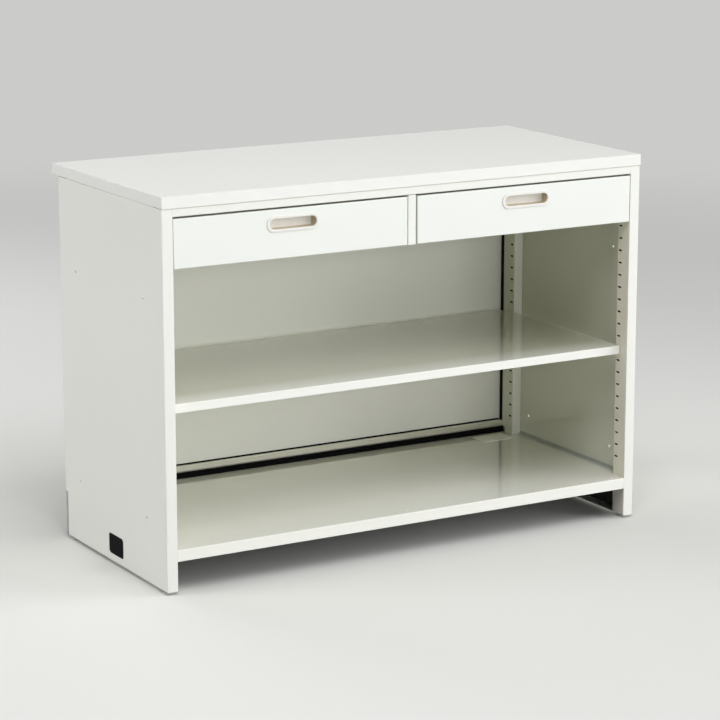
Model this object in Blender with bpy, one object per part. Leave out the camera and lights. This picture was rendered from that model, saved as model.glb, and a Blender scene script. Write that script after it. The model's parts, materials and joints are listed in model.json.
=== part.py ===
"""Steel shop counter with two drawers over an open, shelved staff side.

Metres, +Z up. X runs along the counter, the staff side faces -Y, and the origin
lies on the floor under the middle of the top board.
"""
import math

import bmesh
import bpy
from mathutils import Matrix, Vector

# Overall sizes
COUNTER_WIDTH = 1.200
COUNTER_DEPTH = 0.550
COUNTER_HEIGHT = 0.850
FRONT_OVERHANG = 0.002
REAR_OVERHANG = 0.033
FOOT_HEIGHT = 0.007

# Sheet stock and clearances
SHEET = 0.0012
BEND = 0.002
FIT = 0.0003
RUN = 0.0004
THROUGH = 0.002

# Top board
TOP_THICKNESS = 0.025
BAND = 0.001
BAND_EDGE = 0.0006
SCREW_DIAMETER = 0.004
SCREW_HEAD_DIAMETER = 0.009
SCREW_HEAD_HEIGHT = 0.0025
SCREW_BITE = 0.014
SCREW_INSET = 0.200

# Side frames: folded panels and slotted posts
POST_WIDTH = 0.025
POST_DEPTH = 0.045
SLOT_LENGTH = 0.013
SLOT_HEIGHT = 0.004
SLOT_PITCH = 0.0285
SLOT_COUNT = 20
SLOT_FOLD_MARGIN = 0.011
FIRST_SLOT_RISE = 0.135
JOIN_HOLE_DIAMETER = 0.006
JOIN_HOLE_FRONT = 0.0945
JOIN_HOLE_REAR = 0.081
JOIN_HOLE_LOW = 0.142
JOIN_HOLE_HIGH = 0.617
CABLE_HOLE_LENGTH = 0.073
CABLE_HOLE_HEIGHT = 0.046
CABLE_HOLE_RADIUS = 0.008
CABLE_HOLE_SETBACK = 0.215
CABLE_HOLE_RISE = 0.016

# Levelling feet
FOOT_DIAMETER = 0.024
FOOT_PAD = 0.004
FOOT_EDGE = 0.001
FOOT_NECK_DIAMETER = 0.014
STUD_DIAMETER = 0.008
STUD_LENGTH = 0.022
NUT_ACROSS_FLATS = 0.013
NUT_HEIGHT = 0.0065

# Rails across the top and the middle upright
TOP_RAIL_HEIGHT = 0.018
TOP_RAIL_DEPTH = 0.042
TOP_RAIL_LIP = 0.012
REAR_RAIL_HEIGHT = 0.052
MULLION_WIDTH = 0.020

# Shelves and the clips of the loose one
BOTTOM_SHELF_RISE = 0.090
BOTTOM_SHELF_THICKNESS = 0.025
MID_SHELF_SLOT = 9
MID_SHELF_THICKNESS = 0.019
MID_SHELF_SETBACK = 0.026
MID_SHELF_DEPTH = 0.473
RIB_WIDTH = 0.050
RIB_FLANGE = 0.015
RIB_HEIGHT = 0.012
RIB_END_GAP = 0.030
CLIP_SHEET = 0.0015
CLIP_DROP = 0.012
CLIP_LEDGE = 0.014
CLIP_HOOK = 0.006

# Customer side: fascia, kick plate and seals
FASCIA_DEPTH = 0.018
FASCIA_INSET = 0.015
FASCIA_RISE = 0.0004
FASCIA_RAIL_HEIGHT = 0.011
FASCIA_RAIL_FOOT = 0.010
KICK_HEIGHT = 0.100
KICK_DEPTH = 0.010
SEAL_THICKNESS = 0.004
SEAL_WIDTH = 0.006
SEAL_SLOPE = 0.002

# Drawers
DRAWER_FRONT_HEIGHT = 0.1052
DRAWER_FRONT_DEPTH = 0.018
DRAWER_TOP_GAP = 0.0038
DRAWER_SIDE_GAP = 0.0013
MULLION_RIGHT_GAP = 0.0039
DRAWER_BOX_HEIGHT = 0.075
DRAWER_BOX_DEPTH = 0.400
DRAWER_BOX_RISE = 0.006

# Cup handles
HANDLE_LENGTH = 0.126
HANDLE_HEIGHT = 0.034
HANDLE_END_LIP = 0.007
HANDLE_SIDE_LIP = 0.005
HANDLE_PROUD = 0.0014
HANDLE_EDGE = 0.0006
HANDLE_DEPTH = 0.0145
HANDLE_DRAFT = 0.0015
HANDLE_WALL = 0.0015
HANDLE_DROP = 0.0312

# Roller runners
RAIL_DEPTH = 0.010
RAIL_FRONT_GAP = 0.002
RAIL_REAR_LAP = 0.030
SIDE_PLAY = 0.0012
LIFT_PLAY = 0.001
ROLLER_DIAMETER = 0.018
ROLLER_EDGE = 0.001
ROLLER_SIDE_PLAY = 0.0006
ROLLER_END_GAP = 0.003
AXLE_DIAMETER = 0.004

# Facets of round shapes
BEND_STEPS = 3
ROUND_SIDES = 16
HOLE_SIDES = 12
SLOT_ARC_STEPS = 3
HANDLE_ARC_STEPS = 8
CORNER_ARC_STEPS = 4

# Planes that the pieces share
half_width = COUNTER_WIDTH / 2
half_depth = COUNTER_DEPTH / 2
inner = half_width - POST_WIDTH
front = -half_depth + FRONT_OVERHANG
back = half_depth - REAR_OVERHANG
base = FOOT_HEIGHT
board_bottom = COUNTER_HEIGHT - TOP_THICKNESS
frame_top = board_bottom - FIT

# The drawers hang under the top rail, on both sides of the mullion
rail_bottom = frame_top - TOP_RAIL_HEIGHT
drawer_top = rail_bottom - DRAWER_TOP_GAP
drawer_bottom = drawer_top - DRAWER_FRONT_HEIGHT
gaps_across = 3 * DRAWER_SIDE_GAP + MULLION_RIGHT_GAP
drawer_width = (2 * inner - MULLION_WIDTH - gaps_across) / 2
mullion_left = -inner + drawer_width + 2 * DRAWER_SIDE_GAP
mullion_right = mullion_left + MULLION_WIDTH

# A runner's rail, rollers and lip share one channel beside each drawer box
box_bottom = drawer_bottom + DRAWER_BOX_RISE
box_front = front + DRAWER_FRONT_DEPTH + FIT
box_rear = box_front + DRAWER_BOX_DEPTH
runner_face = FIT + RAIL_DEPTH + SIDE_PLAY
runner_space = runner_face + SHEET + FIT
roller_near = FIT + SHEET + ROLLER_SIDE_PLAY
roller_far = FIT + RAIL_DEPTH - ROLLER_SIDE_PLAY
roller_height = box_bottom + SHEET + FIT + ROLLER_DIAMETER / 2
lip_top = roller_height + ROLLER_DIAMETER / 2 + FIT + SHEET
runner_rail_top = lip_top + LIFT_PLAY + SHEET
runner_rail_front = front + DRAWER_FRONT_DEPTH + RAIL_FRONT_GAP
runner_rail_rear = back - POST_DEPTH + RAIL_REAR_LAP
roller_inset = ROLLER_DIAMETER / 2 + ROLLER_END_GAP

# The loose shelf sits on clips hooked into one row of slots
clip_slot_height = base + FIRST_SLOT_RISE + MID_SHELF_SLOT * SLOT_PITCH
mid_shelf_bottom = clip_slot_height - CLIP_DROP + FIT
mid_shelf_top = mid_shelf_bottom + MID_SHELF_THICKNESS
mid_shelf_front = front + MID_SHELF_SETBACK
mid_shelf_end = inner - CLIP_SHEET - 2 * FIT
bottom_shelf_top = base + BOTTOM_SHELF_RISE
bottom_shelf_bottom = bottom_shelf_top - BOTTOM_SHELF_THICKNESS
bottom_shelf_rear = back - SHEET - SEAL_THICKNESS - 2 * FIT
kick_top = base + KICK_HEIGHT
fascia_bottom = kick_top + FASCIA_RISE
fascia_skin = back + FASCIA_DEPTH
fascia_rail_top = fascia_bottom + SHEET + FIT + FASCIA_RAIL_HEIGHT

LEFT, RIGHT = -1, 1
SIDES = (("left", LEFT), ("right", RIGHT))
ROWS = ("front", "rear")


def across(u, v, w):
    """Outline in Y and Z, length along X."""
    return Vector((w, u, v))


def fore_aft(u, v, w):
    """Outline in X and Z, length along Y."""
    return Vector((u, w, v))


def upright(u, v, w):
    """Outline in X and Y, length along Z."""
    return Vector((u, v, w))


def rectangle(u0, u1, v0, v1):
    return [(u0, v0), (u1, v0), (u1, v1), (u0, v1)]


def circle(u, v, diameter, sides):
    """Round outline with a corner straight below its centre."""
    turns = [2 * math.pi * i / sides - math.pi / 2 for i in range(sides)]
    return [(u + math.cos(t) * diameter / 2, v + math.sin(t) * diameter / 2) for t in turns]


def rounded(u, v, length, height, radius, steps):
    """Rectangle about (u, v) with an arc of the given steps at each corner."""
    points = []
    for quarter, (side_u, side_v) in enumerate(((1, 1), (-1, 1), (-1, -1), (1, -1))):
        centre_u = u + side_u * (length / 2 - radius)
        centre_v = v + side_v * (height / 2 - radius)
        for step in range(steps + 1):
            turn = math.pi / 2 * (quarter + step / steps)
            points.append((centre_u + radius * math.cos(turn), centre_v + radius * math.sin(turn)))
    return points


def stadium(u, v, length, height, steps):
    """Slot outline: two half circles of the given steps joined by straight runs."""
    points = []
    for side in (1, -1):
        for step in range(steps + 1):
            turn = math.pi * (step / steps - 0.5)
            centre_u = u + side * (length - height) / 2
            points.append((centre_u + side * math.cos(turn) * height / 2,
                           v + side * math.sin(turn) * height / 2))
    return points


def is_clockwise(points):
    ahead = points[1:] + points[:1]
    return sum(a[0] * b[1] - b[0] * a[1] for a, b in zip(points, ahead)) < 0


def left_normal(start, end):
    run = (Vector(end) - Vector(start)).normalized()
    return Vector((-run.y, run.x))


def shifted(point, normal_a, normal_b, distance):
    """Corner moved so that both edges beside it move by distance."""
    mitre = (normal_a + normal_b) / (1 + normal_a.dot(normal_b))
    return tuple(Vector(point) + mitre * distance)


def inset(outline, distance):
    """Closed outline moved inward by distance, with square corners."""
    points = outline[::-1] if is_clockwise(outline) else outline
    normals = [left_normal(points[i - 1], points[i]) for i in range(len(points))]
    return [shifted(points[i], normals[i], normals[(i + 1) % len(points)], distance)
            for i in range(len(points))]


def folded(path):
    """Section of a sheet with round bends along path, its thickness to the left of the run."""
    points = path[::-1] if is_clockwise(path) else path
    normals = [left_normal(a, b) for a, b in zip(points, points[1:])]
    face = [Vector(points[0])]
    other = [face[0] + SHEET * normals[0]]
    for corner, before, after in zip(points[1:-1], normals, normals[1:]):
        angle = math.atan2(before.cross(after), before.dot(after))
        reach = BEND if angle > 0 else SHEET - BEND
        centre = Vector(shifted(corner, before, after, reach))
        for step in range(BEND_STEPS + 1):
            normal = Matrix.Rotation(angle * step / BEND_STEPS, 2) @ before
            face.append(centre - reach * normal)
            other.append(centre - (reach - SHEET) * normal)
    face.append(Vector(points[-1]))
    other.append(face[-1] + SHEET * normals[-1])
    return [tuple(point) for point in face + other[::-1]]


def loop(outline, w, place):
    return [place(u, v, w) for u, v in outline]


def loft(bm, loops, ring=False):
    """Skin from loop to loop, with both ends capped or, for a ring, joined."""
    rings = [[bm.verts.new(point) for point in points] for points in loops]
    pairs = list(zip(rings, rings[1:]))
    if ring:
        pairs.append((rings[-1], rings[0]))
    else:
        bm.faces.new(rings[0])
        bm.faces.new(rings[-1])
    for low, high in pairs:
        for i in range(len(low)):
            bm.faces.new((low[i - 1], low[i], high[i], high[i - 1]))


def prism(bm, outline, start, end, place):
    loft(bm, [loop(outline, start, place), loop(outline, end, place)])


def tray(bm, outline, skin, rim, place):
    """Sheet skin with its edges folded over in round bends, from the skin's plane to the rim's."""
    ahead = math.copysign(1, rim - skin)
    outside, inside = [], []
    for step in range(BEND_STEPS + 1):
        angle = math.pi / 2 * step / BEND_STEPS
        for loops, radius in ((outside, BEND), (inside, BEND - SHEET)):
            edge = inset(outline, BEND - radius * math.sin(angle))
            loops.append(loop(edge, skin + ahead * (BEND - radius * math.cos(angle)), place))
    outside.append(loop(inset(outline, 0), rim, place))
    inside.append(loop(inset(outline, SHEET), rim, place))
    loft(bm, outside + inside[::-1])


def turned(bm, profile, centre, place, ring=False):
    """Round piece from (diameter, position) pairs along its axis through centre."""
    loft(bm, [loop(circle(*centre, diameter, ROUND_SIDES), at, place)
              for diameter, at in profile], ring)


def material(name, colour, roughness, metallic=0.0):
    finish = bpy.data.materials.new(name)
    finish.use_nodes = True
    shader = finish.node_tree.nodes["Principled BSDF"]
    shader.inputs["Base Color"].default_value = (*colour, 1.0)
    shader.inputs["Roughness"].default_value = roughness
    shader.inputs["Metallic"].default_value = metallic
    return finish


def make_object(name, bm):
    bmesh.ops.recalc_face_normals(bm, faces=bm.faces)
    mesh = bpy.data.meshes.new(name)
    bm.to_mesh(mesh)
    bm.free()
    piece = bpy.data.objects.new(name, mesh)
    bpy.context.collection.objects.link(piece)
    return piece


def joint_empty(name, location):
    """Empty that carries the pieces of one sliding body."""
    empty = bpy.data.objects.new(name, None)
    empty.location = location
    bpy.context.collection.objects.link(empty)
    return empty


def add_piece(name, bm, finish, origin=None, parent=None, smooth=False):
    """Named piece with its own origin or its parent's, hung on parent where it has one."""
    hung_at = parent.location.copy() if parent else Vector()
    origin = Vector(origin) if origin else hung_at
    bmesh.ops.translate(bm, vec=-origin, verts=bm.verts)
    piece = make_object(name, bm)
    piece.data.materials.append(finish)
    piece.location = origin - hung_at
    piece.parent = parent
    if smooth:
        piece.data.shade_smooth()
        piece.data.set_sharp_from_angle(angle=math.radians(35))
    return piece


def shape_with(piece, operation, tool_bm):
    """Cut or join a tool shape by a Boolean; the tool moves with the piece."""
    bmesh.ops.translate(tool_bm, vec=-piece.location, verts=tool_bm.verts)
    if piece.parent:
        bmesh.ops.translate(tool_bm, vec=-piece.parent.location, verts=tool_bm.verts)
    tool = make_object(f"{piece.name}_{operation.lower()}", tool_bm)
    tool.parent = piece
    tool.hide_render = True
    tool.display_type = "WIRE"
    step = piece.modifiers.new(tool.name, "BOOLEAN")
    step.operation = operation
    step.solver = "EXACT"
    step.object = tool


def screw_places(row):
    """Screws into the board, from the front rail or from the rear one."""
    y = front + (TOP_RAIL_DEPTH + TOP_RAIL_LIP) / 2 if row == "front" else back - POST_DEPTH / 2
    return [(side, (sign * (half_width - SCREW_INSET), y)) for side, sign in SIDES]


def foot_places():
    """Feet under the front posts and, clear of the kick plate, the rear ones."""
    x = half_width - POST_WIDTH / 2
    rows = (("front", front + POST_DEPTH / 2), ("rear", back - (POST_DEPTH + KICK_DEPTH) / 2))
    return [(f"{side}_{row}", sign * x, y) for side, sign in SIDES for row, y in rows]


def build_top(laminate, edging, zinc):
    outline = rectangle(-half_width, half_width, -half_depth, half_depth)
    bm = bmesh.new()
    prism(bm, inset(outline, BAND + FIT), board_bottom, COUNTER_HEIGHT, upright)
    board = add_piece("top_board", bm, laminate)
    bm = bmesh.new()
    lining = inset(outline, BAND)
    eased = inset(outline, BAND_EDGE)
    loft(bm, [loop(eased, board_bottom, upright), loop(outline, board_bottom + BAND_EDGE, upright),
              loop(outline, COUNTER_HEIGHT - BAND_EDGE, upright), loop(eased, COUNTER_HEIGHT, upright),
              loop(lining, COUNTER_HEIGHT, upright), loop(lining, board_bottom, upright)], ring=True)
    add_piece("top_edge_band", bm, edging)

    pilots = bmesh.new()
    head_top = frame_top - SHEET - FIT
    tip = board_bottom + SCREW_BITE
    profile = [(SCREW_HEAD_DIAMETER, head_top - SCREW_HEAD_HEIGHT), (SCREW_HEAD_DIAMETER, head_top),
               (SCREW_DIAMETER, head_top), (SCREW_DIAMETER, tip)]
    for row in ROWS:
        for side, place in screw_places(row):
            pilot = circle(*place, SCREW_DIAMETER + 2 * RUN, HOLE_SIDES)
            prism(pilots, pilot, board_bottom - THROUGH, tip + FIT, upright)
            bm = bmesh.new()
            turned(bm, profile, place, upright)
            add_piece(f"{side}_{row}_top_screw", bm, zinc, smooth=True)
    shape_with(board, "DIFFERENCE", pilots)


def drill_for_screws(rail, row):
    """Clearance holes in a rail's top flange for its row of board screws."""
    holes = bmesh.new()
    for _, place in screw_places(row):
        outline = circle(*place, SCREW_DIAMETER + 2 * RUN, HOLE_SIDES)
        prism(holes, outline, frame_top - SHEET - THROUGH, frame_top + THROUGH, upright)
    shape_with(rail, "DIFFERENCE", holes)


def build_side_panel(side, sign, paint):
    """Folded side tray, notched at the foot of its rear edge for the kick plate."""
    notch = back - KICK_DEPTH
    outline = [(front, base), (notch, base), (notch, kick_top), (back, kick_top),
               (back, frame_top), (front, frame_top)]
    bm = bmesh.new()
    tray(bm, outline, sign * half_width, sign * inner, across)
    panel = add_piece(f"{side}_side_panel", bm, paint)

    holes = bmesh.new()
    outside = sign * (half_width + THROUGH)
    inside = sign * (half_width - SHEET - THROUGH)
    for y in (front + JOIN_HOLE_FRONT, back - JOIN_HOLE_REAR):
        for rise in (JOIN_HOLE_LOW, JOIN_HOLE_HIGH):
            prism(holes, circle(y, base + rise, JOIN_HOLE_DIAMETER, HOLE_SIDES), outside, inside, across)
    if sign == LEFT:
        y = front + CABLE_HOLE_SETBACK + CABLE_HOLE_LENGTH / 2
        z = base + CABLE_HOLE_RISE + CABLE_HOLE_HEIGHT / 2
        cable_hole = rounded(y, z, CABLE_HOLE_LENGTH, CABLE_HOLE_HEIGHT, CABLE_HOLE_RADIUS,
                             CORNER_ARC_STEPS)
        prism(holes, cable_hole, outside, inside, across)
    for name, x, y in foot_places():
        if name.startswith(side):
            stud_hole = circle(x, y, STUD_DIAMETER + 2 * RUN, HOLE_SIDES)
            prism(holes, stud_hole, base - THROUGH, base + SHEET + THROUGH, upright)
    shape_with(panel, "DIFFERENCE", holes)


def build_post(side, sign, row, paint):
    """Channel post inside a side tray, its inner web slotted for shelf clips."""
    skin = sign * (half_width - SHEET - FIT)
    web = sign * inner
    if row == "front":
        outer_face = front + SHEET + FIT
        inner_face = front + POST_DEPTH
        slot_y = inner_face - SLOT_FOLD_MARGIN
    else:
        outer_face = back - SHEET - FIT
        inner_face = back - POST_DEPTH
        slot_y = inner_face + SLOT_FOLD_MARGIN
    section = folded([(skin, outer_face), (web, outer_face), (web, inner_face), (skin, inner_face)])
    bm = bmesh.new()
    prism(bm, section, base + SHEET + FIT, frame_top - SHEET - FIT, upright)
    post = add_piece(f"{side}_{row}_post", bm, paint)

    cuts = bmesh.new()
    for index in range(SLOT_COUNT):
        slot_z = base + FIRST_SLOT_RISE + index * SLOT_PITCH
        slot = stadium(slot_y, slot_z, SLOT_LENGTH, SLOT_HEIGHT, SLOT_ARC_STEPS)
        prism(cuts, slot, sign * (inner - THROUGH), sign * (inner + SHEET + THROUGH), across)
    if row == "rear":
        clear = rectangle(back - KICK_DEPTH - SHEET - FIT, back + THROUGH,
                          base - THROUGH, kick_top + SHEET + FIT)
        prism(cuts, clear, sign * (inner - THROUGH), sign * (half_width + THROUGH), across)
    shape_with(post, "DIFFERENCE", cuts)


def build_frame_rails(paint):
    """Rails under the board at the front and the rear, and the upright between the drawers."""
    span = inner - FIT
    bm = bmesh.new()
    section = folded([(front + TOP_RAIL_DEPTH, frame_top), (front, frame_top),
                      (front, rail_bottom), (front + TOP_RAIL_LIP, rail_bottom)])
    prism(bm, section, -span, span, across)
    rail = add_piece("front_top_rail", bm, paint)
    drill_for_screws(rail, "front")

    rear_face = back - POST_DEPTH
    low = frame_top - REAR_RAIL_HEIGHT
    bm = bmesh.new()
    section = folded([(back - FIT, frame_top), (rear_face, frame_top), (rear_face, low), (back - FIT, low)])
    prism(bm, section, -span, span, across)
    rail = add_piece("rear_top_rail", bm, paint)
    drill_for_screws(rail, "rear")

    end = rear_face - FIT
    bm = bmesh.new()
    section = folded([(mullion_left, end), (mullion_left, front),
                      (mullion_right, front), (mullion_right, end)])
    prism(bm, section, drawer_bottom, rail_bottom - FIT, upright)
    add_piece("centre_divider", bm, paint)


def add_rib(name, shelf_top, shelf_end, middle, paint, parent=None):
    """Hat-section stiffener under a shelf's skin."""
    flange = shelf_top - 2 * SHEET - FIT
    inner_half = RIB_WIDTH / 2
    outer_half = inner_half + RIB_FLANGE
    bm = bmesh.new()
    section = folded([(middle - outer_half, flange), (middle - inner_half, flange),
                      (middle - inner_half, flange - RIB_HEIGHT), (middle + inner_half, flange - RIB_HEIGHT),
                      (middle + inner_half, flange), (middle + outer_half, flange)])
    span = shelf_end - RIB_END_GAP
    prism(bm, section, -span, span, across)
    add_piece(name, bm, paint, parent=parent)


def build_bottom_shelf(paint):
    """Fixed shelf that reaches the side skins between the posts."""
    wide = half_width - SHEET - FIT
    narrow = inner - FIT
    post_front = front + POST_DEPTH + FIT
    post_rear = back - POST_DEPTH - FIT
    half = [(narrow, front), (narrow, post_front), (wide, post_front), (wide, post_rear),
            (narrow, post_rear), (narrow, bottom_shelf_rear)]
    outline = half + [(-x, y) for x, y in half[::-1]]
    bm = bmesh.new()
    tray(bm, outline, bottom_shelf_top, bottom_shelf_bottom, upright)
    add_piece("bottom_shelf", bm, paint)
    add_rib("bottom_shelf_rib", bottom_shelf_top, narrow, (front + bottom_shelf_rear) / 2, paint)


def build_mid_shelf(paint, zinc):
    """Loose shelf, which lifts off the four clips that carry its ends."""
    rear = mid_shelf_front + MID_SHELF_DEPTH
    middle = (mid_shelf_front + rear) / 2
    lift = joint_empty("mid_shelf_lift", (0, middle, mid_shelf_bottom))
    outline = rectangle(-mid_shelf_end, mid_shelf_end, mid_shelf_front, rear)
    bm = bmesh.new()
    tray(bm, outline, mid_shelf_top, mid_shelf_bottom, upright)
    add_piece("mid_shelf", bm, paint, parent=lift)
    add_rib("mid_shelf_rib", mid_shelf_top, mid_shelf_end, middle, paint, parent=lift)

    tongue = clip_slot_height - SLOT_HEIGHT / 2 + FIT
    ledge = clip_slot_height - CLIP_DROP
    hook_back = -SHEET - FIT - CLIP_SHEET
    profile = [(hook_back, tongue), (FIT, tongue), (FIT, ledge - CLIP_SHEET),
               (CLIP_LEDGE, ledge - CLIP_SHEET), (CLIP_LEDGE, ledge),
               (FIT + CLIP_SHEET, ledge), (FIT + CLIP_SHEET, tongue + CLIP_SHEET),
               (-SHEET - FIT, tongue + CLIP_SHEET), (-SHEET - FIT, tongue + CLIP_HOOK),
               (hook_back, tongue + CLIP_HOOK)]
    half_clip = (SLOT_LENGTH - SLOT_HEIGHT) / 2 - FIT
    rows = (("front", front + POST_DEPTH - SLOT_FOLD_MARGIN), ("rear", back - POST_DEPTH + SLOT_FOLD_MARGIN))
    for side, sign in SIDES:
        for row, y in rows:
            section = [(sign * (inner - reach), z) for reach, z in profile]
            bm = bmesh.new()
            prism(bm, section, y - half_clip, y + half_clip, fore_aft)
            add_piece(f"{side}_{row}_shelf_clip", bm, zinc)


def build_customer_side(paint, kick_paint, foam):
    """Fascia tray behind the rear posts, the kick plate below it and their seals."""
    width = half_width - FASCIA_INSET
    outline = rectangle(-width, width, fascia_bottom, frame_top)
    bm = bmesh.new()
    tray(bm, outline, fascia_skin, back + FIT, fore_aft)
    add_piece("rear_fascia", bm, paint)

    seat = fascia_bottom + SHEET + FIT
    rail_front = back + FIT
    span = width - SHEET - FIT
    bm = bmesh.new()
    section = folded([(rail_front, fascia_rail_top), (rail_front, seat),
                      (rail_front + FASCIA_RAIL_FOOT, seat)])
    prism(bm, section, -span, span, across)
    add_piece("fascia_bottom_rail", bm, paint)

    wing = back - KICK_DEPTH + FIT
    bm = bmesh.new()
    section = folded([(-half_width, wing), (-half_width, back), (half_width, back), (half_width, wing)])
    prism(bm, section, base, kick_top - FIT, upright)
    add_piece("kick_plate", bm, kick_paint)

    near = bottom_shelf_rear + FIT
    far = back - SHEET - FIT
    strip = [(near, bottom_shelf_bottom), (far, bottom_shelf_bottom), (far, kick_top - FIT),
             (near, kick_top - FIT - SEAL_SLOPE)]
    bm = bmesh.new()
    prism(bm, strip, -(inner - FIT), inner - FIT, across)
    add_piece("rear_seal_bottom", bm, foam)
    for side, sign in SIDES:
        near_x = sign * (inner + FIT)
        far_x = sign * (inner + FIT + SEAL_WIDTH)
        strip = [(near_x, back + 2 * FIT), (far_x, back + 2 * FIT), (far_x, fascia_skin - SHEET - FIT),
                 (near_x + sign * SEAL_SLOPE, fascia_skin - SHEET - FIT)]
        bm = bmesh.new()
        prism(bm, strip, fascia_rail_top + FIT, frame_top - SHEET - FIT, upright)
        add_piece(f"rear_seal_{side}", bm, foam)


def build_feet(nylon, zinc):
    """Screw-in levelling feet, each with its origin on its thread's axis, and their nuts."""
    shoulder = base - FIT
    profile = [(FOOT_DIAMETER - 2 * FOOT_EDGE, 0), (FOOT_DIAMETER, FOOT_EDGE), (FOOT_DIAMETER, FOOT_PAD),
               (FOOT_NECK_DIAMETER, shoulder), (STUD_DIAMETER, shoulder),
               (STUD_DIAMETER, shoulder + STUD_LENGTH)]
    nut_seat = base + SHEET + FIT
    nut_corner = NUT_ACROSS_FLATS / math.cos(math.pi / 6)
    for name, x, y in foot_places():
        bm = bmesh.new()
        turned(bm, profile, (x, y), upright)
        add_piece(f"{name}_foot", bm, nylon, origin=(x, y, 0), smooth=True)
        hexagon = circle(x, y, nut_corner, 6)
        flats = [tuple((Vector(a) + Vector(b)) / 2) for a, b in zip(hexagon, hexagon[1:] + hexagon[:1])]
        outline = [point for pair in zip(hexagon, flats) for point in pair]
        bore = circle(x, y, STUD_DIAMETER + 2 * RUN, len(outline))
        bm = bmesh.new()
        loft(bm, [loop(outline, nut_seat, upright), loop(outline, nut_seat + NUT_HEIGHT, upright),
                  loop(bore, nut_seat + NUT_HEIGHT, upright), loop(bore, nut_seat, upright)], ring=True)
        add_piece(f"{name}_foot_nut", bm, zinc)


def add_roller(name, wall, sign, y, nylon, parent=None):
    """Nylon roller in a runner channel that starts at wall and opens towards sign."""
    near, far = wall + sign * roller_near, wall + sign * roller_far
    bore = AXLE_DIAMETER + 2 * RUN
    edge = sign * ROLLER_EDGE
    profile = [(bore, near), (ROLLER_DIAMETER - 2 * ROLLER_EDGE, near), (ROLLER_DIAMETER, near + edge),
               (ROLLER_DIAMETER, far - edge), (ROLLER_DIAMETER - 2 * ROLLER_EDGE, far), (bore, far)]
    bm = bmesh.new()
    turned(bm, profile, (y, roller_height), across, ring=True)
    centre = ((near + far) / 2, y, roller_height)
    add_piece(name, bm, nylon, origin=centre, parent=parent, smooth=True)


def add_axle(channel, wall, sign, y, root, tip):
    """Pin joined to a runner's web, through the roller that turns on it."""
    bm = bmesh.new()
    outline = circle(y, roller_height, AXLE_DIAMETER, ROUND_SIDES)
    prism(bm, outline, wall + sign * root, wall + sign * tip, across)
    shape_with(channel, "UNION", bm)


def build_runner(drawer, side, wall, sign, slide, zinc, nylon):
    """Fixed rail and front roller on the carcass; lipped runner and rear roller on the drawer."""
    name = f"{drawer}_drawer_{side}"
    rail_reach = wall + sign * (FIT + RAIL_DEPTH)
    rail_web = wall + sign * FIT
    bm = bmesh.new()
    section = folded([(rail_reach, runner_rail_top), (rail_web, runner_rail_top),
                      (rail_web, box_bottom), (rail_reach, box_bottom)])
    prism(bm, section, runner_rail_front, runner_rail_rear, fore_aft)
    rail = add_piece(f"{name}_rail", bm, zinc)
    front_roller = runner_rail_front + roller_inset
    add_axle(rail, wall, sign, front_roller, FIT + SHEET / 2, roller_far)
    add_roller(f"{name}_front_roller", wall, sign, front_roller, nylon)

    bm = bmesh.new()
    web = wall + sign * (runner_face + SHEET)
    section = folded([(wall + sign * roller_near, lip_top), (web, lip_top), (web, box_bottom)])
    prism(bm, section, box_front, box_rear, fore_aft)
    runner = add_piece(f"{name}_runner", bm, zinc, parent=slide)
    rear_roller = box_rear - roller_inset
    add_axle(runner, wall, sign, rear_roller, runner_face + SHEET / 2, roller_near)
    add_roller(f"{name}_rear_roller", wall, sign, rear_roller, nylon, parent=slide)


def build_handle(drawer, x, z, plastic, slide):
    """Moulded cup pull: a thin lip on the drawer front and a drafted finger cup behind it."""
    mouth_length = HANDLE_LENGTH - 2 * HANDLE_END_LIP
    mouth_height = HANDLE_HEIGHT - 2 * HANDLE_SIDE_LIP
    seat = front - FIT
    face = front - FIT - HANDLE_PROUD
    floor = front + HANDLE_DEPTH
    sections = [
        (mouth_length + 2 * HANDLE_WALL - 2 * HANDLE_DRAFT, mouth_height + 2 * HANDLE_WALL - 2 * HANDLE_DRAFT,
         floor + HANDLE_WALL),
        (mouth_length + 2 * HANDLE_WALL, mouth_height + 2 * HANDLE_WALL, seat),
        (HANDLE_LENGTH, HANDLE_HEIGHT, seat),
        (HANDLE_LENGTH, HANDLE_HEIGHT, face + HANDLE_EDGE),
        (HANDLE_LENGTH - 2 * HANDLE_EDGE, HANDLE_HEIGHT - 2 * HANDLE_EDGE, face),
        (mouth_length + 2 * HANDLE_EDGE, mouth_height + 2 * HANDLE_EDGE, face),
        (mouth_length, mouth_height, face + HANDLE_EDGE),
        (mouth_length - HANDLE_DRAFT, mouth_height - HANDLE_DRAFT, floor - HANDLE_DRAFT),
        (mouth_length - 3 * HANDLE_DRAFT, mouth_height - 3 * HANDLE_DRAFT, floor),
    ]
    bm = bmesh.new()
    loft(bm, [loop(stadium(x, z, length, height, HANDLE_ARC_STEPS), y, fore_aft)
              for length, height, y in sections])
    add_piece(f"{drawer}_drawer_handle", bm, plastic, parent=slide, smooth=True)


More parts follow.
